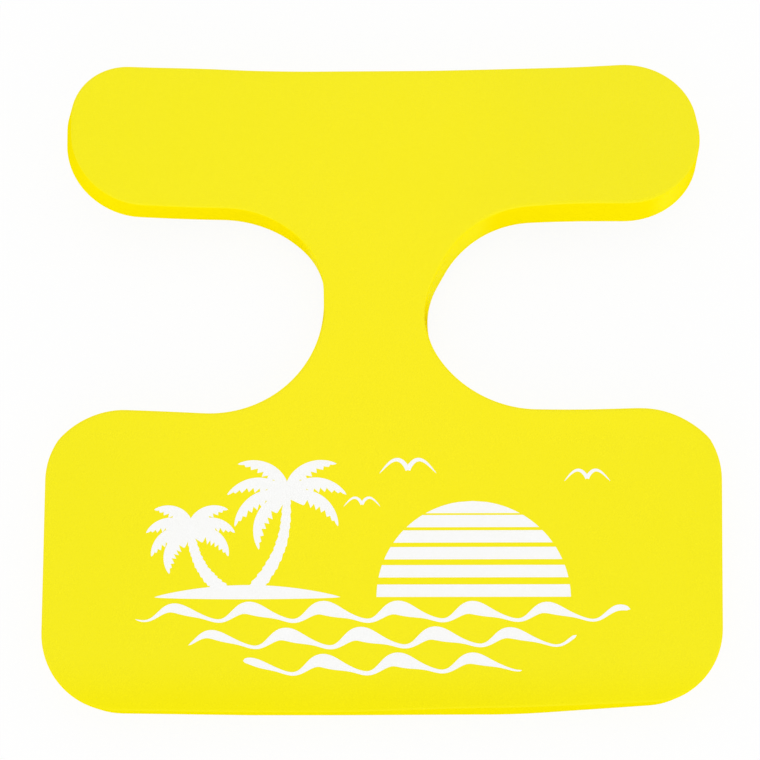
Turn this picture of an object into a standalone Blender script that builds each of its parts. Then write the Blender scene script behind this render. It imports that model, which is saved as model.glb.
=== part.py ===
"""Saddle pool float: a laminated foam blank inside one dipped coat of vinyl.

X runs across the float, Y runs from the seat to the front bar, and Z is up. The origin lies on the plane that
the float rests on, under its middle. Lengths are in metres.
"""

import math
from collections import namedtuple

import bmesh
import bpy
from mathutils import Vector
from mathutils.geometry import delaunay_2d_cdt

# Slab
THICKNESS = 0.0445
COAT_WALL = 0.0008
EDGE_RADIUS = 0.004
FIT = 0.0003

# Front edge of the bar: straight over the middle, bent a little towards each tip
FRONT_EDGE = 0.3595
FRONT_BEND_REACH = 0.2245
FRONT_BEND_RADIUS = 1.2

# Rear edge of the seat: bowed, furthest back in the middle
REAR_EDGE = 0.369
REAR_BEND_REACH = 0.1435
REAR_BEND_RADIUS = 0.9

# Corners of each half of the outline: reach to the side, place along Y, and radius. The blank is sawn by hand round
# a template, so its halves differ by some millimetres. The bar's rear edge forks from the arm in a wide bend, and a
# tighter one at the throat leads it down the neck.
LEFT_BAR_FRONT_REACH = 0.3635
LEFT_BAR_FRONT = 0.3515
LEFT_BAR_FRONT_RADIUS = 0.0675
LEFT_BAR_REAR_REACH = 0.3585
LEFT_BAR_REAR = 0.1875
LEFT_BAR_REAR_RADIUS = 0.0815
LEFT_FORK_REACH = 0.129
LEFT_FORK = 0.191
LEFT_FORK_RADIUS = 0.1345
LEFT_THROAT_REACH = 0.0665
LEFT_THROAT = 0.13
LEFT_THROAT_RADIUS = 0.0825
LEFT_GAP_REAR_REACH = 0.0625
LEFT_GAP_REAR = -0.0505
LEFT_GAP_REAR_RADIUS = 0.1235
LEFT_SEAT_FRONT_REACH = 0.372
LEFT_SEAT_FRONT = -0.029
LEFT_SEAT_FRONT_RADIUS = 0.0805
LEFT_SEAT_REAR_REACH = 0.364
LEFT_SEAT_REAR = -0.366
LEFT_SEAT_REAR_RADIUS = 0.086

RIGHT_BAR_FRONT_REACH = 0.349
RIGHT_BAR_FRONT = 0.364
RIGHT_BAR_FRONT_RADIUS = 0.0805
RIGHT_BAR_REAR_REACH = 0.3735
RIGHT_BAR_REAR = 0.177
RIGHT_BAR_REAR_RADIUS = 0.087
RIGHT_FORK_REACH = 0.104
RIGHT_FORK = 0.182
RIGHT_FORK_RADIUS = 0.1095
RIGHT_THROAT_REACH = 0.0365
RIGHT_THROAT = 0.066
RIGHT_THROAT_RADIUS = 0.0835
RIGHT_GAP_REAR_REACH = 0.102
RIGHT_GAP_REAR = -0.0355
RIGHT_GAP_REAR_RADIUS = 0.1235
RIGHT_SEAT_FRONT_REACH = 0.3735
RIGHT_SEAT_FRONT = -0.028
RIGHT_SEAT_FRONT_RADIUS = 0.085
RIGHT_SEAT_REAR_REACH = 0.36
RIGHT_SEAT_REAR = -0.3535
RIGHT_SEAT_REAR_RADIUS = 0.0825

# Set of the foam: the seat lies flat but for a low wave in its rear edge, the neck climbs, the left arm curls up
# and the right arm twists
WAVE_HEIGHT = 0.005
WAVE_CREST = 0.13
WAVE_REACH = 0.2
WAVE_START = -0.2585
WAVE_SPAN = 0.1
CLIMB_START = -0.073
CLIMB_LENGTH = 0.2495
BAR_RISE = 0.01
BAR_MIDDLE = 0.291
BAR_DEPTH = 0.16
BAR_PITCH = 0.0015
LEFT_CURL_START = 0.068
RIGHT_CURL_START = 0.032
CURL_SPAN = 0.31
LEFT_TIP_LIFT = 0.05
RIGHT_TIP_LIFT = 0.0065
RIGHT_ARM_TWIST = 0.031
TWIST_SPAN = 0.207
SLOPE_PROBE = 0.0005

# Holes that the dipping hooks leave in the coat at the front edge, and the dabs that seal them
HOOK_REACH = 0.150
HOOK_HOLE_RADIUS = 0.003
SEAL_CROWN = 0.0003
CUT_OVERRUN = 0.002

# Fineness of the meshes
FACE_SPACING = 0.034
FACE_MARGIN = 0.017
RIM_SPACING = 0.028
ARC_STEP_DEG = 10
EDGE_STEPS = 3
COAT_WALL_STEPS = 3
HOLE_SIDES = 16
SMOOTH_BELOW_DEG = 40
MERGE_DISTANCE = 1e-7

PLY_NAMES = "foam_bottom_ply", "foam_middle_ply", "foam_top_ply"

VINYL_YELLOW = 0.94, 0.83, 0.025, 1
VINYL_ROUGHNESS = 0.42
SEAL_YELLOW = 0.90, 0.78, 0.020, 1
SEAL_ROUGHNESS = 0.35
FOAM_WHITE = 0.78, 0.76, 0.70, 1
FOAM_ROUGHNESS = 0.95

Corner = namedtuple("Corner", "x y radius")
Arc = namedtuple("Arc", "centre radius start sweep")


def right_corners():
    """Corners of the right half, from the front edge round to the rear edge."""
    return [
        Corner(FRONT_BEND_REACH, FRONT_EDGE, FRONT_BEND_RADIUS),
        Corner(RIGHT_BAR_FRONT_REACH, RIGHT_BAR_FRONT, RIGHT_BAR_FRONT_RADIUS),
        Corner(RIGHT_BAR_REAR_REACH, RIGHT_BAR_REAR, RIGHT_BAR_REAR_RADIUS),
        Corner(RIGHT_FORK_REACH, RIGHT_FORK, RIGHT_FORK_RADIUS),
        Corner(RIGHT_THROAT_REACH, RIGHT_THROAT, RIGHT_THROAT_RADIUS),
        Corner(RIGHT_GAP_REAR_REACH, RIGHT_GAP_REAR, RIGHT_GAP_REAR_RADIUS),
        Corner(RIGHT_SEAT_FRONT_REACH, RIGHT_SEAT_FRONT, RIGHT_SEAT_FRONT_RADIUS),
        Corner(RIGHT_SEAT_REAR_REACH, RIGHT_SEAT_REAR, RIGHT_SEAT_REAR_RADIUS),
        Corner(REAR_BEND_REACH, -REAR_EDGE, REAR_BEND_RADIUS),
    ]


def left_corners():
    """Corners of the left half, from the front edge round to the rear edge."""
    return [
        Corner(-FRONT_BEND_REACH, FRONT_EDGE, FRONT_BEND_RADIUS),
        Corner(-LEFT_BAR_FRONT_REACH, LEFT_BAR_FRONT, LEFT_BAR_FRONT_RADIUS),
        Corner(-LEFT_BAR_REAR_REACH, LEFT_BAR_REAR, LEFT_BAR_REAR_RADIUS),
        Corner(-LEFT_FORK_REACH, LEFT_FORK, LEFT_FORK_RADIUS),
        Corner(-LEFT_THROAT_REACH, LEFT_THROAT, LEFT_THROAT_RADIUS),
        Corner(-LEFT_GAP_REAR_REACH, LEFT_GAP_REAR, LEFT_GAP_REAR_RADIUS),
        Corner(-LEFT_SEAT_FRONT_REACH, LEFT_SEAT_FRONT, LEFT_SEAT_FRONT_RADIUS),
        Corner(-LEFT_SEAT_REAR_REACH, LEFT_SEAT_REAR, LEFT_SEAT_REAR_RADIUS),
        Corner(-REAR_BEND_REACH, -REAR_EDGE, REAR_BEND_RADIUS),
    ]


def clear_scene():
    for obj in list(bpy.data.objects):
        bpy.data.objects.remove(obj, do_unlink=True)


def corner_frame(corners, index):
    """The place of a corner, the directions to its neighbours, and half the angle between them."""
    here = Vector((corners[index].x, corners[index].y))
    back = Vector((corners[index - 1].x, corners[index - 1].y)) - here
    ahead_corner = corners[(index + 1) % len(corners)]
    ahead = Vector((ahead_corner.x, ahead_corner.y)) - here
    return here, back, ahead, back.angle(ahead) / 2


def outline_arcs(corners):
    """An arc for each corner of a closed anticlockwise outline. An arc shrinks where its run has no room for it."""
    count = len(corners)
    frames = [corner_frame(corners, i) for i in range(count)]
    tangents = [corner.radius / math.tan(frame[3]) for corner, frame in zip(corners, frames)]
    arcs = []
    for i, (here, back, ahead, half_angle) in enumerate(frames):
        before = tangents[i] + tangents[i - 1]
        after = tangents[i] + tangents[(i + 1) % count]
        room_share = min(1, back.length / before, ahead.length / after)
        radius = corners[i].radius * room_share
        inward = (back.normalized() + ahead.normalized()).normalized()
        centre = here + inward * radius / math.sin(half_angle)
        start = here + back.normalized() * radius / math.tan(half_angle) - centre
        turn = math.copysign(1, ahead.cross(back))
        arcs.append(Arc(centre, radius, math.atan2(start.y, start.x), turn * (math.pi - 2 * half_angle)))
    return arcs


def arc_points(arc, inset):
    """Points along one arc, moved into the material by the inset."""
    steps = max(1, math.ceil(math.degrees(abs(arc.sweep)) / ARC_STEP_DEG))
    radius = arc.radius - math.copysign(inset, arc.sweep)
    angles = [arc.start + arc.sweep * k / steps for k in range(steps + 1)]
    return [arc.centre + radius * Vector((math.cos(a), math.sin(a))) for a in angles]


def rim(arcs, inset):
    """The closed outline at an inset. Every inset gives as many points, each beside its fellow."""
    points = []
    for arc, following in zip(arcs, arcs[1:] + arcs[:1]):
        full_run = arc_points(following, 0)[0] - arc_points(arc, 0)[-1]
        steps = max(1, math.ceil(full_run.length / RIM_SPACING))
        bend = arc_points(arc, inset)
        run_start, run_end = bend[-1], arc_points(following, inset)[0]
        points += bend
        points += [run_start.lerp(run_end, k / steps) for k in range(1, steps)]
    return [p for p, q in zip(points, points[-1:] + points[:-1]) if (p - q).length > MERGE_DISTANCE]


def distance_to_run(point, start, end):
    run = end - start
    share = max(0, min(1, (point - start).dot(run) / run.length_squared))
    return (point - start - run * share).length


def inside(point, loop):
    """Whether a closed loop goes round the point."""
    crossings = 0
    for start, end in zip(loop, loop[1:] + loop[:1]):
        if (start.y > point.y) != (end.y > point.y):
            across = start.x + (point.y - start.y) * (end.x - start.x) / (end.y - start.y)
            crossings += point.x < across
    return crossings % 2 == 1


def field_points(loop):
    """Points on a staggered grid inside the loop, clear of its rim."""
    reach = max(max(abs(p.x), abs(p.y)) for p in loop)
    row_spacing = FACE_SPACING * math.sin(math.radians(60))
    rows = math.ceil(reach / row_spacing)
    columns = math.ceil(reach / FACE_SPACING) + 1
    runs = list(zip(loop, loop[1:] + loop[:1]))
    found = []
    for row in range(-rows, rows + 1):
        for column in range(-columns, columns + 1):
            point = Vector(((column + row % 2 / 2) * FACE_SPACING, row * row_spacing))
            clear = min(distance_to_run(point, start, end) for start, end in runs) > FACE_MARGIN
            if clear and inside(point, loop):
                found.append(point)
    return found


def face_triangles(loop, field):
    """Triangles over the rim points, then the field points, as indices into both."""
    count = len(loop)
    edges = [(i, (i + 1) % count) for i in range(count)]
    inside_edges = 1
    made = delaunay_2d_cdt(loop + field, edges, [], inside_edges, MERGE_DISTANCE)
    points, triangles, origins = made[0], made[2], made[3]
    if len(points) != count + len(field):
        raise ValueError("the outline crosses itself")
    return [tuple(origins[i][0] for i in triangle) for triangle in triangles]


def eased(share):
    share = max(0, min(1, share))
    return share * share * (3 - 2 * share)


def lift(x, y):
    """Height of the underside above the plane that the float rests on."""
    left_curl = max(0, (-x - LEFT_CURL_START) / CURL_SPAN)
    right_curl = max(0, (x - RIGHT_CURL_START) / CURL_SPAN)
    curl_lift = LEFT_TIP_LIFT * left_curl**2 + RIGHT_TIP_LIFT * right_curl**2
    twist = RIGHT_ARM_TWIST * eased((x - RIGHT_CURL_START) / TWIST_SPAN)
    forward = (y - BAR_MIDDLE) / BAR_DEPTH
    bar = BAR_RISE + curl_lift + (BAR_PITCH - twist) * forward
    wave = WAVE_HEIGHT * eased(1 - abs(x - WAVE_CREST) / WAVE_REACH) * max(0, (WAVE_START - y) / WAVE_SPAN) ** 2
    return eased((y - CLIMB_START) / CLIMB_LENGTH) * bar + wave


def posed(x, y, height):
    """Where a point of the flat slab lies once the foam has its set."""
    slope_x = (lift(x + SLOPE_PROBE, y) - lift(x - SLOPE_PROBE, y)) / (2 * SLOPE_PROBE)
    slope_y = (lift(x, y + SLOPE_PROBE) - lift(x, y - SLOPE_PROBE)) / (2 * SLOPE_PROBE)
    normal = Vector((-slope_x, -slope_y, 1)).normalized()
    return Vector((x, y, lift(x, y))) + normal * height


def layer_profile(inset, low, high, low_radius, high_radius, wall_steps=1):
    """Side profile of a layer as insets and heights, from the rim of its lower face to that of its upper face."""
    low_steps = EDGE_STEPS if low_radius else 0
    high_steps = EDGE_STEPS if high_radius else 0
    profile = []
    for k in range(low_steps + 1):
        angle = math.pi / 2 * k / max(1, low_steps)
        profile.append((inset + low_radius * (1 - math.sin(angle)), low + low_radius * (1 - math.cos(angle))))
    wall_low = low + low_radius
    wall_high = high - high_radius
    for k in range(1, wall_steps):
        profile.append((inset, wall_low + (wall_high - wall_low) * k / wall_steps))
    for k in range(high_steps + 1):
        angle = math.pi / 2 * k / max(1, high_steps)
        profile.append((inset + high_radius * (1 - math.cos(angle)), high - high_radius * (1 - math.sin(angle))))
    return profile


def mesh_object(name, bm, material):
    bmesh.ops.recalc_face_normals(bm, faces=bm.faces)
    mesh = bpy.data.meshes.new(name)
    bm.to_mesh(mesh)
    bm.free()
    mesh.shade_smooth()
    mesh.set_sharp_from_angle(angle=math.radians(SMOOTH_BELOW_DEG))
    obj = bpy.data.objects.new(name, mesh)
    bpy.context.scene.collection.objects.link(obj)
    if material:
        mesh.materials.append(material)
    else:
        obj.hide_render = True
        obj.display_type = "WIRE"
    return obj


def layer(name, arcs, field, triangles, profile, material=None):
    """A closed layer of the slab: two faces joined by walls that follow the profile."""
    bm = bmesh.new()
    rings = []
    for inset, height in profile:
        rings.append([bm.verts.new(posed(p.x, p.y, height)) for p in rim(arcs, inset)])
    low_height, high_height = profile[0][1], profile[-1][1]
    low_face = rings[0] + [bm.verts.new(posed(p.x, p.y, low_height)) for p in field]
    high_face = rings[-1] + [bm.verts.new(posed(p.x, p.y, high_height)) for p in field]
    for a, b, c in triangles:
        bm.faces.new((low_face[c], low_face[b], low_face[a]))
        bm.faces.new((high_face[a], high_face[b], high_face[c]))
    for lower, upper in zip(rings, rings[1:]):
        for i in range(len(lower)):
            bm.faces.new((lower[i - 1], lower[i], upper[i], upper[i - 1]))
    return mesh_object(name, bm, material)


def front_edge_at(loop, x):
    """Where the front edge crosses a line along Y."""
    crossings = []
    for start, end in zip(loop, loop[1:] + loop[:1]):
        if (start.x > x) != (end.x > x):
            crossings.append(start.y + (x - start.x) * (end.y - start.y) / (end.x - start.x))
    return max(crossings)


def turned_plug(name, arcs, x, profile, material=None):
    """A round plug in the front edge, turned about a line along Y, from radii and depths below that edge."""
    bm = bmesh.new()
    edge = front_edge_at(rim(arcs, 0), x)
    angles = [2 * math.pi * k / HOLE_SIDES for k in range(HOLE_SIDES)]
    rings = []
    for radius, depth in profile:
        ring = []
        for angle in angles:
            height = THICKNESS / 2 + radius * math.sin(angle)
            ring.append(bm.verts.new(posed(x + radius * math.cos(angle), edge - depth, height)))
        rings.append(ring)
    for outer, inner in zip(rings, rings[1:]):
        for i in range(HOLE_SIDES):
            bm.faces.new((outer[i - 1], outer[i], inner[i], inner[i - 1]))
    bm.faces.new(rings[0])
    bm.faces.new(rings[-1][::-1])
    return mesh_object(name, bm, material)


def cut(obj, cutter):
    modifier = obj.modifiers.new(cutter.name, "BOOLEAN")
    modifier.operation = "DIFFERENCE"
    modifier.object = cutter


def surface(name, colour, roughness):
    material = bpy.data.materials.new(name)
    material.use_nodes = True
    shader = material.node_tree.nodes["Principled BSDF"]
    shader.inputs["Base Color"].default_value = colour
    shader.inputs["Roughness"].default_value = roughness
    shader.inputs["Metallic"].default_value = 0
    return material


def vinyl_coat(arcs, field, triangles):
    """The dipped coat: one skin of even wall, open only where the two dipping hooks held the blank."""
    outside = layer_profile(0, 0, THICKNESS, EDGE_RADIUS, EDGE_RADIUS, COAT_WALL_STEPS)
    hollow_top = THICKNESS - COAT_WALL
    hollow_radius = EDGE_RADIUS - COAT_WALL
    hollow = layer_profile(COAT_WALL, COAT_WALL, hollow_top, hollow_radius, hollow_radius, COAT_WALL_STEPS)
    vinyl = surface("yellow_vinyl", VINYL_YELLOW, VINYL_ROUGHNESS)
    coat = layer("vinyl_coat", arcs, field, triangles, outside, vinyl)
    cut(coat, layer("coat_hollow", arcs, field, triangles, hollow))
    hole = [(HOOK_HOLE_RADIUS, -CUT_OVERRUN), (HOOK_HOLE_RADIUS, COAT_WALL + CUT_OVERRUN)]
    for side, word in ((-1, "left"), (1, "right")):
        cut(coat, turned_plug("hook_hole_" + word, arcs, side * HOOK_REACH, hole))


def foam_plies(arcs, field, triangles):
    """The blank: sheets of foam of one thickness, welded face to face, with their outer edges rounded over."""
    foam = surface("closed_cell_foam", FOAM_WHITE, FOAM_ROUGHNESS)
    skin = COAT_WALL + FIT
    blank_radius = EDGE_RADIUS - skin
    last = len(PLY_NAMES) - 1
    ply = (THICKNESS - 2 * skin - last * FIT) / len(PLY_NAMES)
    for number, name in enumerate(PLY_NAMES):
        low = skin + number * (ply + FIT)
        low_radius = blank_radius if number == 0 else 0
        high_radius = blank_radius if number == last else 0
        layer(name, arcs, field, triangles, layer_profile(skin, low, low + ply, low_radius, high_radius), foam)


def hook_seals(arcs):
    """A dab of vinyl in each hook hole, level with the coat's inner face and a little crowned outside."""
    dab_vinyl = surface("seal_vinyl", SEAL_YELLOW, SEAL_ROUGHNESS)
    radius = HOOK_HOLE_RADIUS - FIT
    crown_radius = radius / 2
    profile = [(crown_radius, -SEAL_CROWN), (radius, 0), (radius, COAT_WALL)]
    for side, word in ((-1, "left"), (1, "right")):
        turned_plug("hook_seal_" + word, arcs, side * HOOK_REACH, profile, dab_vinyl)


def build():
    clear_scene()
    loop = left_corners() + right_corners()[::-1]
    arcs = outline_arcs(loop)
    face_rim = rim(arcs, EDGE_RADIUS)
    field = field_points(face_rim)
    triangles = face_triangles(face_rim, field)
    vinyl_coat(arcs, field, triangles)
    foam_plies(arcs, field, triangles)
    hook_seals(arcs)


build()
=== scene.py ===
"""Saddle pool float: the finish of its foam blank, dipped coat, hook seals and print, in a white studio.

Lengths are in metres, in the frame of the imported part: X runs across the float, Y from the seat to the front
bar, and Z up.
"""

import math
from collections import namedtuple

import bmesh
import bpy
from mathutils import Matrix, Vector, kdtree, noise
from mathutils.geometry import delaunay_2d_cdt


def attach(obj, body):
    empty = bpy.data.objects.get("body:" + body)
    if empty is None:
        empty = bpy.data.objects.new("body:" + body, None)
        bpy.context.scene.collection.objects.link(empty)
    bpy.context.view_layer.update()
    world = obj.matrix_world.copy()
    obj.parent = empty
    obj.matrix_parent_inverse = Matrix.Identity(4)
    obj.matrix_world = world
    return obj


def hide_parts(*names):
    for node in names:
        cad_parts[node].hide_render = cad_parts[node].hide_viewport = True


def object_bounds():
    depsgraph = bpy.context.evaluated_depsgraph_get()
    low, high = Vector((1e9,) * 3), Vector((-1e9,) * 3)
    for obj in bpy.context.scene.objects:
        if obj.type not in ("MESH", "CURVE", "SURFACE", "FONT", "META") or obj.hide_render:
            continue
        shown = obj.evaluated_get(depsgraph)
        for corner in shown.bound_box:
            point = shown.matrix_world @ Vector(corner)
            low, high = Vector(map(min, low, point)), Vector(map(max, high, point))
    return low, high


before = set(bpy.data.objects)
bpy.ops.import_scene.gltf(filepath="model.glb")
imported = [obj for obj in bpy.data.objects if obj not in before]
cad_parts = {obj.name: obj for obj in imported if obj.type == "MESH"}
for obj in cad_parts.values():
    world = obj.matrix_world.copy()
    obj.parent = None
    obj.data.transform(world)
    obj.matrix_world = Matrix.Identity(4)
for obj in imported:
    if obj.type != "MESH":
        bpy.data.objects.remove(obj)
cad_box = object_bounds()


# Foam blank. Three sheets of white closed-cell foam are welded face to face, sawn by hand round a template
# and rounded over along their outer edges. The foam has taken a set: the seat's rear edge waves, the neck
# climbs, and at the front the left arm curls up while the right arm twists.

THICKNESS = 0.0445
COAT_WALL = 0.0008
EDGE_RADIUS = 0.004
FIT = 0.0003

# Corners of the outline: place across, place along, and radius
LEFT_HALF = {
    "front bend": (-0.2245, 0.3595, 1.2),
    "front of the bar": (-0.3635, 0.3515, 0.0675),
    "rear of the bar": (-0.3585, 0.1875, 0.0815),
    "fork": (-0.129, 0.191, 0.1345),
    "throat": (-0.0665, 0.13, 0.0825),
    "rear of the leg gap": (-0.0625, -0.0505, 0.1235),
    "front of the seat": (-0.372, -0.029, 0.0805),
    "rear of the seat": (-0.364, -0.366, 0.086),
    "rear bend": (-0.1435, -0.369, 0.9),
}
RIGHT_HALF = {
    "front bend": (0.2245, 0.3595, 1.2),
    "front of the bar": (0.349, 0.364, 0.0805),
    "rear of the bar": (0.3735, 0.177, 0.087),
    "fork": (0.104, 0.182, 0.1095),
    "throat": (0.0365, 0.066, 0.0835),
    "rear of the leg gap": (0.102, -0.0355, 0.1235),
    "front of the seat": (0.3735, -0.028, 0.085),
    "rear of the seat": (0.36, -0.3535, 0.0825),
    "rear bend": (0.1435, -0.369, 0.9),
}

# The set: the wave in the seat, the climb of the neck, and the curl and twist of the bar's arms
WAVE_HEIGHT = 0.005
WAVE_CREST = 0.13
WAVE_REACH = 0.2
WAVE_START = -0.2585
WAVE_SPAN = 0.1
CLIMB_START = -0.073
CLIMB_LENGTH = 0.2495
BAR_RISE = 0.01
BAR_MIDDLE = 0.291
BAR_DEPTH = 0.16
BAR_PITCH = 0.0015
LEFT_CURL_START = 0.068
RIGHT_CURL_START = 0.032
CURL_SPAN = 0.31
LEFT_TIP_LIFT = 0.05
RIGHT_TIP_LIFT = 0.0065
RIGHT_ARM_TWIST = 0.031
TWIST_SPAN = 0.207
RIPPLE_DEPTH = 0.0003
RIPPLE_LENGTH = 0.055

# How finely the surfaces are made
SLOPE_PROBE = 0.0005
RIM_STEP = 0.006
WALL_STEP = 0.007
EDGE_STEPS = 7
FOAM_FACE_STEP = 0.020
SMOOTH_BELOW = math.radians(40)
MERGE_DISTANCE = 1e-7

Corner = namedtuple("Corner", "x y radius")
Arc = namedtuple("Arc", "centre radius start sweep")


def outline_arcs(corners):
    """An arc for each corner of the closed anticlockwise outline. It shrinks where its run has no room."""
    places = [Vector((corner.x, corner.y)) for corner in corners]
    backs = [places[i - 1] - here for i, here in enumerate(places)]
    aheads = [-back for back in backs[1:] + backs[:1]]
    halves = [back.angle(ahead) / 2 for back, ahead in zip(backs, aheads)]
    tangents = [corner.radius / math.tan(half) for corner, half in zip(corners, halves)]
    arcs = []
    for i, (here, back, ahead, half) in enumerate(zip(places, backs, aheads, halves)):
        before = tangents[i - 1] + tangents[i]
        after = tangents[i] + tangents[(i + 1) % len(corners)]
        radius = corners[i].radius * min(1, back.length / before, ahead.length / after)
        inward = (back.normalized() + ahead.normalized()).normalized()
        centre = here + inward * radius / math.sin(half)
        start = here + back.normalized() * radius / math.tan(half) - centre
        turn = math.copysign(1, ahead.cross(back))
        arcs.append(Arc(centre, radius, math.atan2(start.y, start.x), turn * (math.pi - 2 * half)))
    return arcs


ARCS = outline_arcs([Corner(*place) for place in [*LEFT_HALF.values(), *reversed(RIGHT_HALF.values())]])


def arc_points(arc, inset):
    """Points along an arc, moved into the foam by the inset."""
    steps = max(1, math.ceil(arc.radius * abs(arc.sweep) / RIM_STEP))
    radius = arc.radius - math.copysign(inset, arc.sweep)
    angles = [arc.start + arc.sweep * k / steps for k in range(steps + 1)]
    return [arc.centre + radius * Vector((math.cos(a), math.sin(a))) for a in angles]


def rim(inset):
    """The closed outline at an inset. Every inset gives as many points, each beside its fellow."""
    points = []
    for arc, following in zip(ARCS, ARCS[1:] + ARCS[:1]):
        full_run = arc_points(following, 0)[0] - arc_points(arc, 0)[-1]
        steps = max(1, math.ceil(full_run.length / RIM_STEP))
        bend = arc_points(arc, inset)
        run_start, run_end = bend[-1], arc_points(following, inset)[0]
        points += bend
        points += [run_start.lerp(run_end, k / steps) for k in range(1, steps)]
    return [p for p, q in zip(points, points[-1:] + points[:-1]) if (p - q).length > MERGE_DISTANCE]


def eased(share):
    """A share from 0 to 1 that starts and ends its rise gently."""
    share = max(0, min(1, share))
    return share * share * (3 - 2 * share)


def lift(x, y):
    """Height of the underside above the plane that the float rests on."""
    left_curl = max(0, (-x - LEFT_CURL_START) / CURL_SPAN)
    right_curl = max(0, (x - RIGHT_CURL_START) / CURL_SPAN)
    curl_lift = LEFT_TIP_LIFT * left_curl**2 + RIGHT_TIP_LIFT * right_curl**2
    twist = RIGHT_ARM_TWIST * eased((x - RIGHT_CURL_START) / TWIST_SPAN)
    forward = (y - BAR_MIDDLE) / BAR_DEPTH
    bar = BAR_RISE + curl_lift + (BAR_PITCH - twist) * forward
    crest = eased(1 - abs(x - WAVE_CREST) / WAVE_REACH)
    wave = WAVE_HEIGHT * crest * max(0, (WAVE_START - y) / WAVE_SPAN) ** 2
    return eased((y - CLIMB_START) / CLIMB_LENGTH) * bar + wave


def posed(point, height):
    """Where a point of the flat slab lies once the foam has its set and the slight ripple of its sheets."""
    x, y = point
    slope_x = (lift(x + SLOPE_PROBE, y) - lift(x - SLOPE_PROBE, y)) / (2 * SLOPE_PROBE)
    slope_y = (lift(x, y + SLOPE_PROBE) - lift(x, y - SLOPE_PROBE)) / (2 * SLOPE_PROBE)
    normal = Vector((-slope_x, -slope_y, 1)).normalized()
    ripple = RIPPLE_DEPTH * noise.noise(Vector((x, y, 0)) / RIPPLE_LENGTH)
    return Vector((x, y, lift(x, y))) + normal * (height + ripple)


def side_profile(inset, low, high, low_radius, high_radius):
    """Insets and heights up the side of a layer, from the rim of its lower face to that of its upper face."""
    turns = [math.pi / 2 * k / EDGE_STEPS for k in range(EDGE_STEPS + 1)]
    bend = [(1 - math.sin(a), 1 - math.cos(a)) for a in turns]
    low_bend = [(inset + low_radius * inward, low + low_radius * up) for inward, up in bend]
    high_bend = [(inset + high_radius * inward, high - high_radius * down) for inward, down in bend[::-1]]
    wall_low, wall_high = low + low_radius, high - high_radius
    steps = math.ceil((wall_high - wall_low) / WALL_STEP)
    wall = [(inset, wall_low + (wall_high - wall_low) * k / steps) for k in range(1, steps)]
    return (low_bend if low_radius else low_bend[:1]) + wall + (high_bend if high_radius else high_bend[-1:])


def filled(loops, step):
    """Points and triangles, about a step wide, over all that the closed loops cover.

    It also gives the origins of each point: its number among the loops' points, or a higher one if it is new.
    """
    clear_share, triangles_inside = 0.6, 1
    outline = [point for loop in loops for point in loop]
    tree = kdtree.KDTree(len(outline))
    for index, point in enumerate(outline):
        tree.insert(point.to_3d(), index)
    tree.balance()
    row_step = step * math.sin(math.radians(60))
    low, high = Vector(map(min, *outline)), Vector(map(max, *outline))
    field = []
    for row in range(math.ceil((high.y - low.y) / row_step)):
        for column in range(math.ceil((high.x - low.x) / step)):
            point = low + Vector(((column + row % 2 / 2) * step, row * row_step))
            if tree.find(point.to_3d())[2] > step * clear_share:
                field.append(point)
    faces = []
    for loop in loops:
        first = faces[-1][-1] + 1 if faces else 0
        faces.append(list(range(first, first + len(loop))))
    points, _, triangles, origins, _, loops_over = delaunay_2d_cdt(
        outline + field, [], faces, triangles_inside, MERGE_DISTANCE
    )
    return points, [triangle for triangle, over in zip(triangles, loops_over) if over], origins


def fill_face(bm, ring, loop, height, step, upward):
    """Fills a rim of the slab with triangles."""
    points, triangles, origins = filled([loop], step)
    vertices = {}
    for triangle in triangles:
        for i in triangle:
            if i not in vertices:
                on_rim = origins[i][0] < len(ring)
                vertices[i] = ring[origins[i][0]] if on_rim else bm.verts.new(posed(points[i], height))
        bm.faces.new([vertices[i] for i in (triangle if upward else triangle[::-1])])


def slab_layer(profile, face_step):
    """A closed layer of the slab: two faces joined by walls that follow the profile."""
    bm = bmesh.new()
    rings = [[bm.verts.new(posed(p, height)) for p in rim(inset)] for inset, height in profile]
    for lower, upper in zip(rings, rings[1:]):
        for i in range(len(lower)):
            bm.faces.new((lower[i - 1], lower[i], upper[i], upper[i - 1]))
    (low_inset, low), (high_inset, high) = profile[0], profile[-1]
    fill_face(bm, rings[0], rim(low_inset), low, face_step, upward=False)
    fill_face(bm, rings[-1], rim(high_inset), high, face_step, upward=True)
    return bm


def mesh_object(name, bm):
    """The object of a mesh, smooth but for its sharper edges."""
    bmesh.ops.recalc_face_normals(bm, faces=bm.faces)
    mesh = bpy.data.meshes.new(name)
    bm.to_mesh(mesh)
    bm.free()
    mesh.shade_smooth()
    mesh.set_sharp_from_angle(angle=SMOOTH_BELOW)
    obj = bpy.data.objects.new(name, mesh)
    bpy.context.scene.collection.objects.link(obj)
    return obj


class Signal:
    """A socket in a shader. Arithmetic on it adds Math nodes, and node() adds any other kind."""

    def __init__(self, tree, socket=None):
        self.tree = tree
        self.socket = socket

    def node(self, kind, settings, inputs, output=0):
        """Adds a node: its settings first, then the values and links of its sockets."""
        made = self.tree.nodes.new("ShaderNode" + kind)
        for name, value in settings.items():
            setattr(made, name, value)
        for name, value in inputs.items():
            if isinstance(value, Signal):
                self.tree.links.new(value.socket, made.inputs[name])
            else:
                made.inputs[name].default_value = value
        return Signal(self.tree, made.outputs[output] if made.outputs else None)

    def math(self, operation, first, second=0.0):
        return self.node("Math", {"operation": operation}, {0: first, 1: second})

    def __add__(self, other):
        return self.math("ADD", self, other)

    def __sub__(self, other):
        return self.math("SUBTRACT", self, other)

    def __rsub__(self, other):
        return self.math("SUBTRACT", other, self)

    def __mul__(self, other):
        return self.math("MULTIPLY", self, other)

    def __abs__(self):
        return self.math("ABSOLUTE", self)

    __radd__ = __add__
    __rmul__ = __mul__


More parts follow.
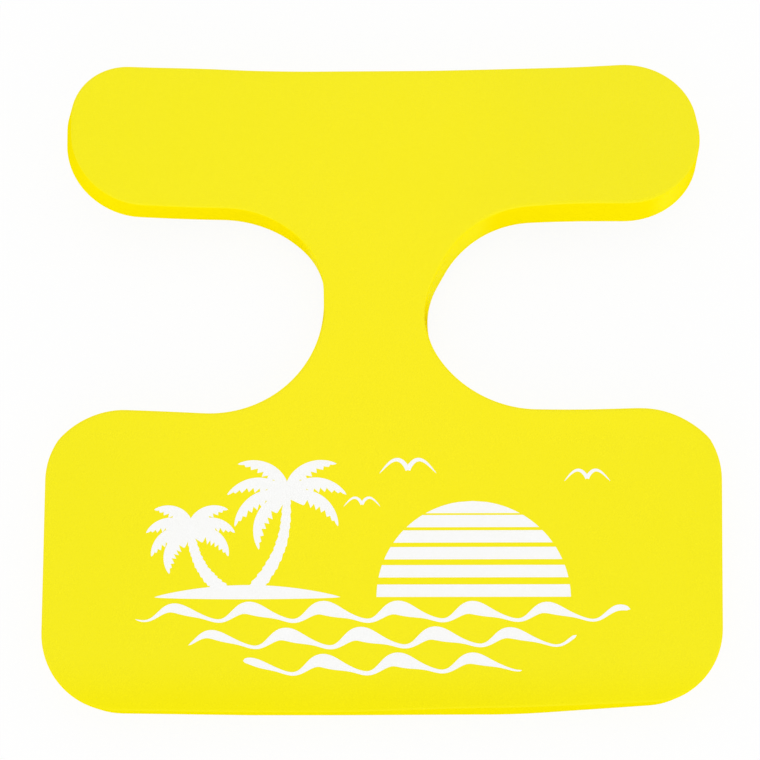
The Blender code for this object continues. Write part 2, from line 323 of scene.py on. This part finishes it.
def new_finish(name):
    """An empty material, and the signal that its nodes start from."""
    material = bpy.data.materials.new(name)
    material.use_nodes = True
    material.node_tree.nodes.clear()
    return material, Signal(material.node_tree)


def noise_at(place, size):
    """Soft noise from 0 to 1, whose blotches are about as wide as the size."""
    return place.node("TexNoise", {}, {"Vector": place, "Scale": 1 / size, "Detail": 2})


def blend(factor, first, second):
    """A mix of two colours."""
    first_colour, second_colour, mixed_colour = 6, 7, 2
    inputs = {0: factor, first_colour: first, second_colour: second}
    return factor.node("Mix", {"data_type": "RGBA"}, inputs, mixed_colour)


def shade(start, inputs):
    """Ends a finish in a surface with these inputs."""
    surface = start.node("BsdfPrincipled", {}, inputs)
    start.node("OutputMaterial", {}, {"Surface": surface})


def foam_finish():
    """Chalky white foam whose sawn faces show cut cells, with painted shade in the cells' low edges."""
    cell, cloud = 0.0016, 0.03
    cell_share, cloud_share = 0.7, 0.3
    pore_depth, pore_strength = 0.0002, 0.6
    white, pore_shade_tone = (0.80, 0.78, 0.72, 1), (0.66, 0.63, 0.56, 1)
    material, start = new_finish("closed_cell_foam")
    place = start.node("TexCoord", {}, {}, "Object")
    cells = place.node("TexVoronoi", {"feature": "F1"}, {"Vector": place, "Scale": 1 / cell})
    # The darker tone is painted shade where the cells' edges lie low; the cloud noise varies it at random.
    colour = blend(cells * cell_share + noise_at(place, cloud) * cloud_share, white, pore_shade_tone)
    pores = cells.node("Bump", {}, {"Height": 1 - cells, "Distance": pore_depth, "Strength": pore_strength})
    shade(start, {"Base Color": colour, "Normal": pores, "Roughness": 0.95})
    return material


def add_plies():
    plies = {"bottom_ply": "foam_bottom_ply", "middle_ply": "foam_middle_ply", "top_ply": "foam_top_ply"}
    foam = foam_finish()
    skin = COAT_WALL + FIT
    last = len(plies) - 1
    ply = (THICKNESS - 2 * skin - last * FIT) / len(plies)
    for number, (name, node) in enumerate(plies.items()):
        low = skin + number * (ply + FIT)
        low_radius = EDGE_RADIUS - skin if number == 0 else 0
        high_radius = EDGE_RADIUS - skin if number == last else 0
        profile = side_profile(skin, low, low + ply, low_radius, high_radius)
        sheet = mesh_object(name, slab_layer(profile, FOAM_FACE_STEP))
        sheet.data.materials.append(foam)
        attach(sheet, "root")
        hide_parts(node)


add_plies()


# Vinyl coat. The blank hangs from two hooks in its front edge and is dipped several times in liquid vinyl,
# which cures to one tight satin skin. Its colour holds painted light: palest over the middle of the faces,
# darker to their rims, lighter on the sides, with painted shade on the sides at both ends, on those facing
# the rear, on the neck's sides and wrinkles and along the seat's rear edge. Each hook has left a hole.

COAT_FACE_STEP = 0.008
HOOK_REACH = 0.150
HOOK_HOLE_RADIUS = 0.003
HOLE_SIDES = 32
CUT_OVERRUN = 0.002
SLIVER = 1e-6


def turned_plug(x, profile, wobble=0.0):
    """A round solid in the front edge, from radii and depths below that edge. Wobble makes it less round."""
    bm = bmesh.new()
    edge = max(p.y for p in rim(0) if abs(p.x - x) < RIM_STEP)
    angles = [2 * math.pi * k / HOLE_SIDES for k in range(HOLE_SIDES)]
    rings = []
    for radius, depth in profile:
        ring = []
        for a in angles:
            reach = radius * (1 + wobble * (math.sin(2 * a) + math.sin(3 * a + 1) / 2))
            place = Vector((x + reach * math.cos(a), edge - depth))
            ring.append(bm.verts.new(posed(place, THICKNESS / 2 + reach * math.sin(a))))
        rings.append(ring)
    for outer, inner in zip(rings, rings[1:]):
        for i in range(HOLE_SIDES):
            bm.faces.new((outer[i - 1], outer[i], inner[i], inner[i - 1]))
    bm.faces.new(rings[0])
    bm.faces.new(rings[-1][::-1])
    return bm


def cut(obj, cutters):
    """Cuts the solids out of the object, deletes them, and closes the slivers that the cuts leave."""
    for cutter in cutters:
        modifier = obj.modifiers.new(cutter.name, "BOOLEAN")
        modifier.operation = "DIFFERENCE"
        modifier.object = cutter
    depsgraph = bpy.context.evaluated_depsgraph_get()
    whole = obj.data
    obj.data = bpy.data.meshes.new_from_object(obj.evaluated_get(depsgraph))
    obj.modifiers.clear()
    for spent in [whole, *[cutter.data for cutter in cutters]]:
        bpy.data.meshes.remove(spent)
    bm = bmesh.new()
    bm.from_mesh(obj.data)
    bmesh.ops.dissolve_degenerate(bm, dist=SLIVER, edges=bm.edges)
    bm.to_mesh(obj.data)
    bm.free()


def smooth_step(value, start, end):
    """From 0 at the start to 1 at the end, eased at both."""
    settings = {"interpolation_type": "SMOOTHSTEP"}
    return value.node("MapRange", settings, {"Value": value, "From Min": start, "From Max": end})


def component(vector, axis):
    """The X, Y or Z of a vector."""
    return vector.node("SeparateXYZ", {}, {"Vector": vector}, axis)


def distance(place, centre):
    return place.node("VectorMath", {"operation": "DISTANCE"}, {0: place, 1: centre}, "Value")


def highest(first, *others):
    """The highest of several signals."""
    for other in others:
        first = first.math("MAXIMUM", first, other)
    return first


def relief(height):
    """The normal of a surface whose height is given in metres."""
    return height.node("Bump", {}, {"Height": height, "Distance": 1, "Strength": 1})


def pebbled(place):
    """From 0 to 1 over the fine pebble of the vinyl."""
    pebble, pits, tops = 0.0015, 0.36, 0.64
    return smooth_step(noise_at(place, pebble), pits, tops)


def coat_grain(place):
    """Height in metres of the vinyl's fine pebble and of the shallow dimples left as it drained."""
    pebble_depth = 0.00009
    dimple, dimple_depth = 0.011, 0.00035
    return pebbled(place) * pebble_depth + noise_at(place, dimple) * dimple_depth


def on_sides(outward):
    """From 0 on the faces to 1 on the sides."""
    face_ends, side_begins = 0.93, 0.55
    return smooth_step(abs(component(outward, "Z")), face_ends, side_begins)


def facing_rear_shade(outward):
    """From 0 to 1 on sides facing the rear, a little to the left, where the colour is deepened as painted
    shade.
    """
    shade_direction, start, end = (-0.22, -0.976, 0), 0.68, 0.87
    facing_share = outward.node("VectorMath", {"operation": "DOT_PRODUCT"}, {0: outward, 1: shade_direction}, "Value")
    return smooth_step(facing_share, start, end)


def far_across(place):
    """From 0 to 1 towards the left and right ends of the float."""
    middle, start, end = 0.010, 0.296, 0.354
    return smooth_step(abs(component(place, "X") - middle), start, end)


def towards_seat_rear(place):
    """From 0 to 1 towards the seat's rear edge, where painted shade darkens the colour and the sheen is
    duller.
    """
    start, end = -0.305, -0.37
    return smooth_step(component(place, "Y"), start, end)


def neck_shade_and_wrinkles(place):
    """How much painted shade lies on the neck's two sides, and how wrinkled they are, each from 0 to 1."""
    left_side, right_side = (-0.057, 0.062, 0), (0.047, 0.062, 0)
    neck_shade_middle, neck_shade_end = 0.016, 0.036
    wrinkled_middle, wrinkled_end = 0.004, 0.018
    wrinkle, hollows, crests = 0.006, 0.38, 0.58
    flat = place.node("VectorMath", {"operation": "MULTIPLY"}, {0: place, 1: (1, 1, 0)})
    reach = flat.math("MINIMUM", distance(flat, left_side), distance(flat, right_side))
    # A patch of painted shade on each side of the neck; the wrinkles feed the bump and a painted crease shade.
    neck_shade = smooth_step(reach, neck_shade_end, neck_shade_middle)
    wrinkled = smooth_step(reach, wrinkled_end, wrinkled_middle)
    return neck_shade, wrinkled * smooth_step(noise_at(flat, wrinkle), hollows, crests)


def face_colour(place, last):
    """Yellow in soft clouds, with painted light: palest mid-face, darker to the rims and at the seat's rear
    edge.
    """
    lit_middle_tone, rim_shade_tone = (0.955, 0.838, 0.004, 1), (0.908, 0.828, 0.002, 1)
    rear_edge_shade_tone = (0.918, 0.820, 0.001, 1)
    centre, middle_ends, rim_begins, cloud = (0, 0.02, 0), 0.10, 0.42, 0.15
    rim_share, cloud_share, pebble_share = 0.55, 0.3, 0.15
    # Painted light: the middle of the faces is painted paler, the rims darker.
    towards_rim = smooth_step(distance(place, centre), middle_ends, rim_begins)
    tone = towards_rim * rim_share + noise_at(place, cloud) * cloud_share + pebbled(place) * pebble_share
    # Painted shade darkens the seat's rear edge.
    return blend(last, blend(tone, lit_middle_tone, rim_shade_tone), rear_edge_shade_tone)


def side_colour(side_shade, wrinkles, last):
    """A stronger yellow, painted lighter than the faces; painted shade deepens it and darkens wrinkles and
    rear edge.
    """
    lit_side_tone, shaded_side_tone = (0.968, 0.864, 0.0035, 1), (0.972, 0.818, 0.001, 1)
    crease_shade_tone, rear_edge_shade_tone = (0.78, 0.58, 0.003, 1), (0.900, 0.783, 0.001, 1)
    # Lighter sides are painted light; the deeper, crease and rear-edge tones are painted shade.
    return blend(last, blend(wrinkles, blend(side_shade, lit_side_tone, shaded_side_tone), crease_shade_tone), rear_edge_shade_tone)


def vinyl_finish():
    """Vinyl with satin faces and drier sides, and painted light and shade in its colour."""
    patch, face_gloss, patch_gloss = 0.04, 0.34, 0.08
    rear_edge_dulling, side_gloss, wrinkle_depth = 0.24, 0.10, 0.0006
    material, start = new_finish("dipped_vinyl")
    place = start.node("TexCoord", {}, {}, "Object")
    outward = start.node("TexCoord", {}, {}, "Normal")
    sides, last = on_sides(outward), towards_seat_rear(place)
    neck_shade, wrinkles = neck_shade_and_wrinkles(place)
    # The sides' deeper tone is painted shade: towards both ends, on sides facing the rear, and on the neck's
    # sides.
    side_shade = highest(far_across(place), facing_rear_shade(outward), neck_shade)
    face_sheen = face_gloss + noise_at(place, patch) * patch_gloss - last * rear_edge_dulling
    inputs = {
        "Base Color": blend(sides, face_colour(place, last), side_colour(side_shade, wrinkles, last)),
        "Coat Weight": face_sheen * (1 - sides) + sides * (1 - side_shade) * side_gloss,
        "Normal": relief(coat_grain(place) - wrinkles * sides * wrinkle_depth),
        "Roughness": 0.6,
        "Specular IOR Level": 0,
        "Coat Roughness": 0.42,
    }
    shade(start, inputs)
    return material


def add_coat():
    hollow_radius = EDGE_RADIUS - COAT_WALL
    hollow_top = THICKNESS - COAT_WALL
    outside = side_profile(0, 0, THICKNESS, EDGE_RADIUS, EDGE_RADIUS)
    inside = side_profile(COAT_WALL, COAT_WALL, hollow_top, hollow_radius, hollow_radius)
    coat = mesh_object("coat_skin", slab_layer(outside, COAT_FACE_STEP))
    hole = [(HOOK_HOLE_RADIUS, -CUT_OVERRUN), (HOOK_HOLE_RADIUS, COAT_WALL + CUT_OVERRUN)]
    holes = [mesh_object("hook_hole", turned_plug(x, hole)) for x in (-HOOK_REACH, HOOK_REACH)]
    cut(coat, [mesh_object("hollow", slab_layer(inside, FOAM_FACE_STEP)), *holes])
    coat.data.materials.clear()
    coat.data.materials.append(vinyl_finish())
    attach(coat, "root")
    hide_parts("vinyl_coat")


add_coat()


# Hook seals. A dab of thick vinyl closes each hook hole. It is pushed in with a brush, so it spreads a little
# over the coat, not quite round, and dries glossier than the skin.


def seal_finish():
    """Brushed vinyl, a shade deeper and glossier than the coat."""
    brush, stroke_depth = 0.0025, 0.0002
    smoothest, stroke_roughness = 0.24, 0.1
    thin, thick = (0.96, 0.82, 0.002, 1), (0.93, 0.77, 0.001, 1)
    material, start = new_finish("brushed_vinyl")
    strokes = noise_at(start.node("TexCoord", {}, {}, "Object"), brush)
    inputs = {
        "Base Color": blend(strokes, thin, thick),
        "Roughness": smoothest + strokes * stroke_roughness,
        "Normal": relief(strokes * stroke_depth),
        "Specular IOR Level": 0.25,
    }
    shade(start, inputs)
    return material


def add_seals():
    spread, height, dome_power, wobble, rings = 0.0050, 0.0008, 0.8, 0.05, 8
    plug = HOOK_HOLE_RADIUS - FIT
    turns = [math.pi / 2 * k / rings for k in range(1, rings + 1)]
    dome = [(spread * math.sin(a), -height * math.cos(a) ** dome_power) for a in turns]
    brushed = seal_finish()
    dabs = ("left_dab", "hook_seal_left", -HOOK_REACH), ("right_dab", "hook_seal_right", HOOK_REACH)
    for name, node, x in dabs:
        dab = mesh_object(name, turned_plug(x, [*dome, (plug, 0), (plug, COAT_WALL)], wobble))
        dab.data.materials.append(brushed)
        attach(dab, "root")
        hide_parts(node)


add_seals()


# Print. White screen ink lies on the seat as a film of no thickness to speak of: a low sun, two palms, gulls
# and rolling water. Each motif is made of strips of ink that follow the seat.

INK_STEP = 0.007
INK_LIFT = 0.00015
INK_FILM = 0.0002
STRIP_STEPS = 48
HORIZON = -0.2465


def shares(steps=STRIP_STEPS):
    """Even shares of a line, from 0 to 1."""
    return [k / steps for k in range(steps + 1)]


def closely(loop, step):
    """A closed loop with more points along its longer runs."""
    points = []
    for here, following in zip(loop, loop[1:] + loop[:1]):
        steps = max(1, math.ceil((following - here).length / step))
        points += [here.lerp(following, k / steps) for k in range(steps)]
    return points


def strip(line, left_widths, right_widths):
    """The outline of a strip of ink along a line of points, with its width to the left and right of each."""
    points = [Vector(place) for place in line]
    befores, afters = points[:1] + points[:-1], points[1:] + points[-1:]
    left_side, right_side = [], []
    for here, before, after, left, right in zip(points, befores, afters, left_widths, right_widths):
        leftward = (after - before).orthogonal().normalized()
        left_side.append(here + leftward * left)
        right_side.append(here - leftward * right)
    return right_side + left_side[::-1]


def sun():
    """Half a disc on the horizon, cut by slits that widen downwards."""
    x, radius, bands, band_steps = 0.098, 0.104, 6, 12
    first_slit, slit_growth = 0.0020, 0.0014
    slits = [first_slit + slit_growth * k for k in range(bands - 1)]
    band = (radius - sum(slits)) / bands
    low = radius - band
    strips = []
    for slit in [*slits, 0]:
        heights = [low + band * share for share in shares(band_steps)]
        widths = [math.sqrt(max(0, radius**2 - height**2)) for height in heights]
        strips.append(strip([(x, HORIZON + height) for height in heights], widths, widths))
        low -= slit + band
    return strips


def frond(crown, angle, length):
    """A leaf that arches down to its tip, notched along its lower side."""
    bend, width, lean_power, edge_power = math.radians(75), 0.0092, 0.8, 0.8
    notches, notch_share, whole_share = 9, 0.78, 0.3
    rightward = math.cos(angle) > 0
    line = [crown]
    for t in shares()[1:]:
        heading = angle - bend * t if rightward else angle + bend * t
        line.append(line[-1] + Vector((math.cos(heading), math.sin(heading))) * length / STRIP_STEPS)
    whole = [width * math.sin(math.pi * t**lean_power) ** edge_power for t in shares()]
    cuts = [notch_share * (1 - notches * t % 1) if t > whole_share else 0 for t in shares()]
    notched = [w * (1 - cut) for w, cut in zip(whole, cuts)]
    return strip(line, whole, notched) if rightward else strip(line, notched, whole)


def palm(foot, crown, bow, frond_length):
    """A bowed trunk with ringed bark, and fronds fanned out from its crown."""
    foot_width, crown_width, rings, ring_share = 0.0085, 0.0048, 13, 0.22
    frond_degrees = 8, 40, 72, 108, 140, 172, 205
    foot, crown = Vector(foot), Vector(crown)
    sideways = (crown - foot).orthogonal().normalized()
    line = [foot.lerp(crown, t) + sideways * bow * math.sin(math.pi * t) for t in shares()]
    tapers = [foot_width + (crown_width - foot_width) * t for t in shares()]
    widths = [taper * (1 - ring_share * (rings * t % 1)) for taper, t in zip(tapers, shares())]
    fan = [frond(crown, math.radians(degrees), frond_length) for degrees in frond_degrees]
    return [strip(line, widths, widths), *fan]


def palms():
    """Two palms on a low mound of sand."""
    shore_start, shore_length, planted = -0.245, 0.200, 0.0045
    mound, mound_power, below, below_power = 0.013, 0.8, 0.0022, 0.5
    line = [(shore_start + shore_length * t, HORIZON) for t in shares()]
    swells = [math.sin(math.pi * t) for t in shares()]
    top, bottom = [mound * s**mound_power for s in swells], [below * s**below_power for s in swells]
    ground = HORIZON + planted
    tall = palm(foot=(-0.140, ground), crown=(-0.104, -0.137), bow=-0.012, frond_length=0.070)
    short = palm(foot=(-0.168, ground), crown=(-0.208, -0.178), bow=0.008, frond_length=0.052)
    return [strip(line, top, bottom), *tall, *short]


def water():
    """Rolling lines, each shorter than the one above, thick at the crests and thin in the troughs."""
    top, spacing, reaches, steps = -0.265, 0.028, (0.265, 0.207, 0.148), 160
    wave_length, swell, lean = 0.080, 0.0070, 0.4
    thin, thick, crest_power, end_power = 0.0022, 0.0078, 1.5, 0.3
    strips = []
    for number, reach in enumerate(reaches):
        across = [reach * (2 * t - 1) for t in shares(steps)]
        turns = [2 * math.pi * (x / wave_length + number / 2) for x in across]
        level = top - spacing * number
        line = [(x, level + swell * math.sin(a + lean * math.sin(a))) for x, a in zip(across, turns)]
        crests = [thin + (thick - thin) * ((1 + math.sin(a)) / 2) ** crest_power for a in turns]
        widths = [crest * math.sin(math.pi * t) ** end_power for crest, t in zip(crests, shares(steps))]
        strips.append(strip(line, widths, widths))
    return strips


def gulls():
    """Birds a long way off: two bent wings each."""
    birds = (0.028, -0.108, 0.031), (0.223, -0.118, 0.025), (-0.022, -0.146, 0.020)
    arch_share, lean_power, droop_share = 0.42, 0.8, 0.12
    width_share, taper_power = 0.085, 0.6
    wings = []
    for x, y, span in birds:
        rises = [span * (arch_share * math.sin(math.pi * t**lean_power) - droop_share * t) for t in shares()]
        widths = [width_share * span * (1 - t) ** taper_power for t in shares()]
        for reach in (-span, span):
            line = [(x + reach * t, y + rise) for t, rise in zip(shares(), rises)]
            wings.append(strip(line, widths, widths))
    return wings


def ink_finish():
    """White ink, a little thin in places, so that the vinyl's grain and a hint of its yellow come through."""
    thin_patch, smoothest, thin_roughness = 0.012, 0.45, 0.1
    solid, thin = (0.95, 0.95, 0.95, 1), (0.93, 0.93, 0.90, 1)
    material, start = new_finish("screen_ink")
    place = start.node("TexCoord", {}, {}, "Object")
    thinness = noise_at(place, thin_patch)
    inputs = {
        "Base Color": blend(thinness, solid, thin),
        "Roughness": smoothest + thinness * thin_roughness,
        "Normal": relief(coat_grain(place)),
    }
    shade(start, inputs)
    return material


def ink_film(loops):
    """A closed film of ink over all that the loops cover, with its base just below the vinyl's surface."""
    points, triangles, _ = filled([closely(loop, INK_STEP) for loop in loops], INK_STEP)
    inked = sorted({i for triangle in triangles for i in triangle})
    bm = bmesh.new()
    top = {i: bm.verts.new(posed(points[i], THICKNESS + INK_LIFT)) for i in inked}
    base = {i: bm.verts.new(posed(points[i], THICKNESS + INK_LIFT - INK_FILM)) for i in inked}
    for triangle in triangles:
        bm.faces.new([top[i] for i in triangle])
        bm.faces.new([base[i] for i in reversed(triangle)])
    edges = dict.fromkeys((triangle[i - 1], triangle[i]) for triangle in triangles for i in range(3))
    for start, end in edges:
        if (end, start) not in edges:
            bm.faces.new((top[end], top[start], base[start], base[end]))
    return bm


def add_print():
    ink = ink_finish()
    motifs = {"print_sun": sun, "print_palms": palms, "print_water": water, "print_gulls": gulls}
    for name, motif in motifs.items():
        print_film = mesh_object(name, ink_film(motif()))
        print_film.data.materials.append(ink)
        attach(print_film, "root")


add_print()


# Studio. A white floor that keeps a faint shadow, in a white tent whose even light comes from all round. Low
# softboxes behind the seat and at both sides light the slab's sides, and a wide one stands before the bar.

FLOOR_SIZE = 14
SKY_LEVEL = 0.818
WHITE = (1, 1, 1, 1)


def seen_directly(start):
    """1 for rays from the camera and for those that a glossy or clear surface sends on, else 0."""
    kinds = "Is Camera Ray", "Is Glossy Ray", "Is Transmission Ray"
    return highest(*[start.node("LightPath", {}, {}, kind) for kind in kinds])


def floor_finish():
    """White paper, brightened where it is seen, so that only a little of the float's shadow shows."""
    glow = 0.91
    material, start = new_finish("studio_floor")
    paper = start.node("BsdfDiffuse", {}, {"Color": (0.93, 0.93, 0.93, 1)})
    white = start.node("Emission", {}, {"Color": WHITE, "Strength": 1})
    surface = start.node("MixShader", {}, {0: seen_directly(start) * glow, 1: paper, 2: white})
    start.node("OutputMaterial", {}, {"Surface": surface})
    return material


def add_floor():
    bm = bmesh.new()
    bmesh.ops.create_grid(bm, x_segments=1, y_segments=1, size=FLOOR_SIZE / 2)
    floor = mesh_object("floor", bm)
    floor.location.z = cad_box[0].z - RIPPLE_DEPTH
    floor.data.materials.append(floor_finish())


def light_sky():
    world = bpy.data.worlds.new("studio")
    world.use_nodes = True
    world.node_tree.nodes.clear()
    start = Signal(world.node_tree)
    lit = start.node("Background", {}, {"Color": WHITE, "Strength": SKY_LEVEL})
    white = start.node("Background", {}, {"Color": WHITE, "Strength": 1})
    sky = start.node("MixShader", {}, {0: seen_directly(start), 1: lit, 2: white})
    start.node("OutputWorld", {}, {"Surface": sky})
    bpy.context.scene.world = world


def add_softbox(name, place, size, power):
    """A square softbox aimed at the middle of the float."""
    lamp = bpy.data.lights.new(name, "AREA")
    lamp.shape = "SQUARE"
    lamp.size = size
    lamp.energy = power
    obj = bpy.data.objects.new(name, lamp)
    obj.location = place
    obj.rotation_euler = Vector(place).to_track_quat("Z", "Y").to_euler()
    bpy.context.scene.collection.objects.link(obj)


add_floor()
light_sky()
add_softbox("rear_softbox", place=(0, -6.4, 2.8), size=4.5, power=100)
add_softbox("front_softbox", place=(0, 5.3, 4.7), size=8, power=75)
add_softbox("right_softbox", place=(7, 0, 2.6), size=4.5, power=52)
add_softbox("left_softbox", place=(-7, 0, 2.6), size=4.5, power=38)


# Camera. It looks down on the float from almost two metres up, over a point just behind the seat and a touch
# to the right, as the photograph's did.

AIM = Vector((-0.0030, -0.0010, 0.02225))
TILT = math.radians(14.11)
SWING = math.radians(1.18)
ROLL = math.radians(0.06)
DISTANCE = 1.921
LENS_MM = 81.26


def add_camera():
    back = Vector((math.sin(SWING), -math.sin(TILT) * math.cos(SWING), math.cos(TILT) * math.cos(SWING)))
    level_right = Vector((0, 1, 0)).cross(back).normalized()
    level_up = back.cross(level_right)
    right = level_right * math.cos(ROLL) + level_up * math.sin(ROLL)
    up = level_up * math.cos(ROLL) - level_right * math.sin(ROLL)
    camera = bpy.data.objects.new("camera", bpy.data.cameras.new("camera"))
    camera.data.lens = LENS_MM
    axes = Matrix((right, up, back)).transposed()
    camera.matrix_world = Matrix.Translation(AIM + back * DISTANCE) @ axes.to_4x4()
    bpy.context.scene.collection.objects.link(camera)
    bpy.context.scene.camera = camera


add_camera()
bpy.context.scene.view_settings.view_transform = "Standard"
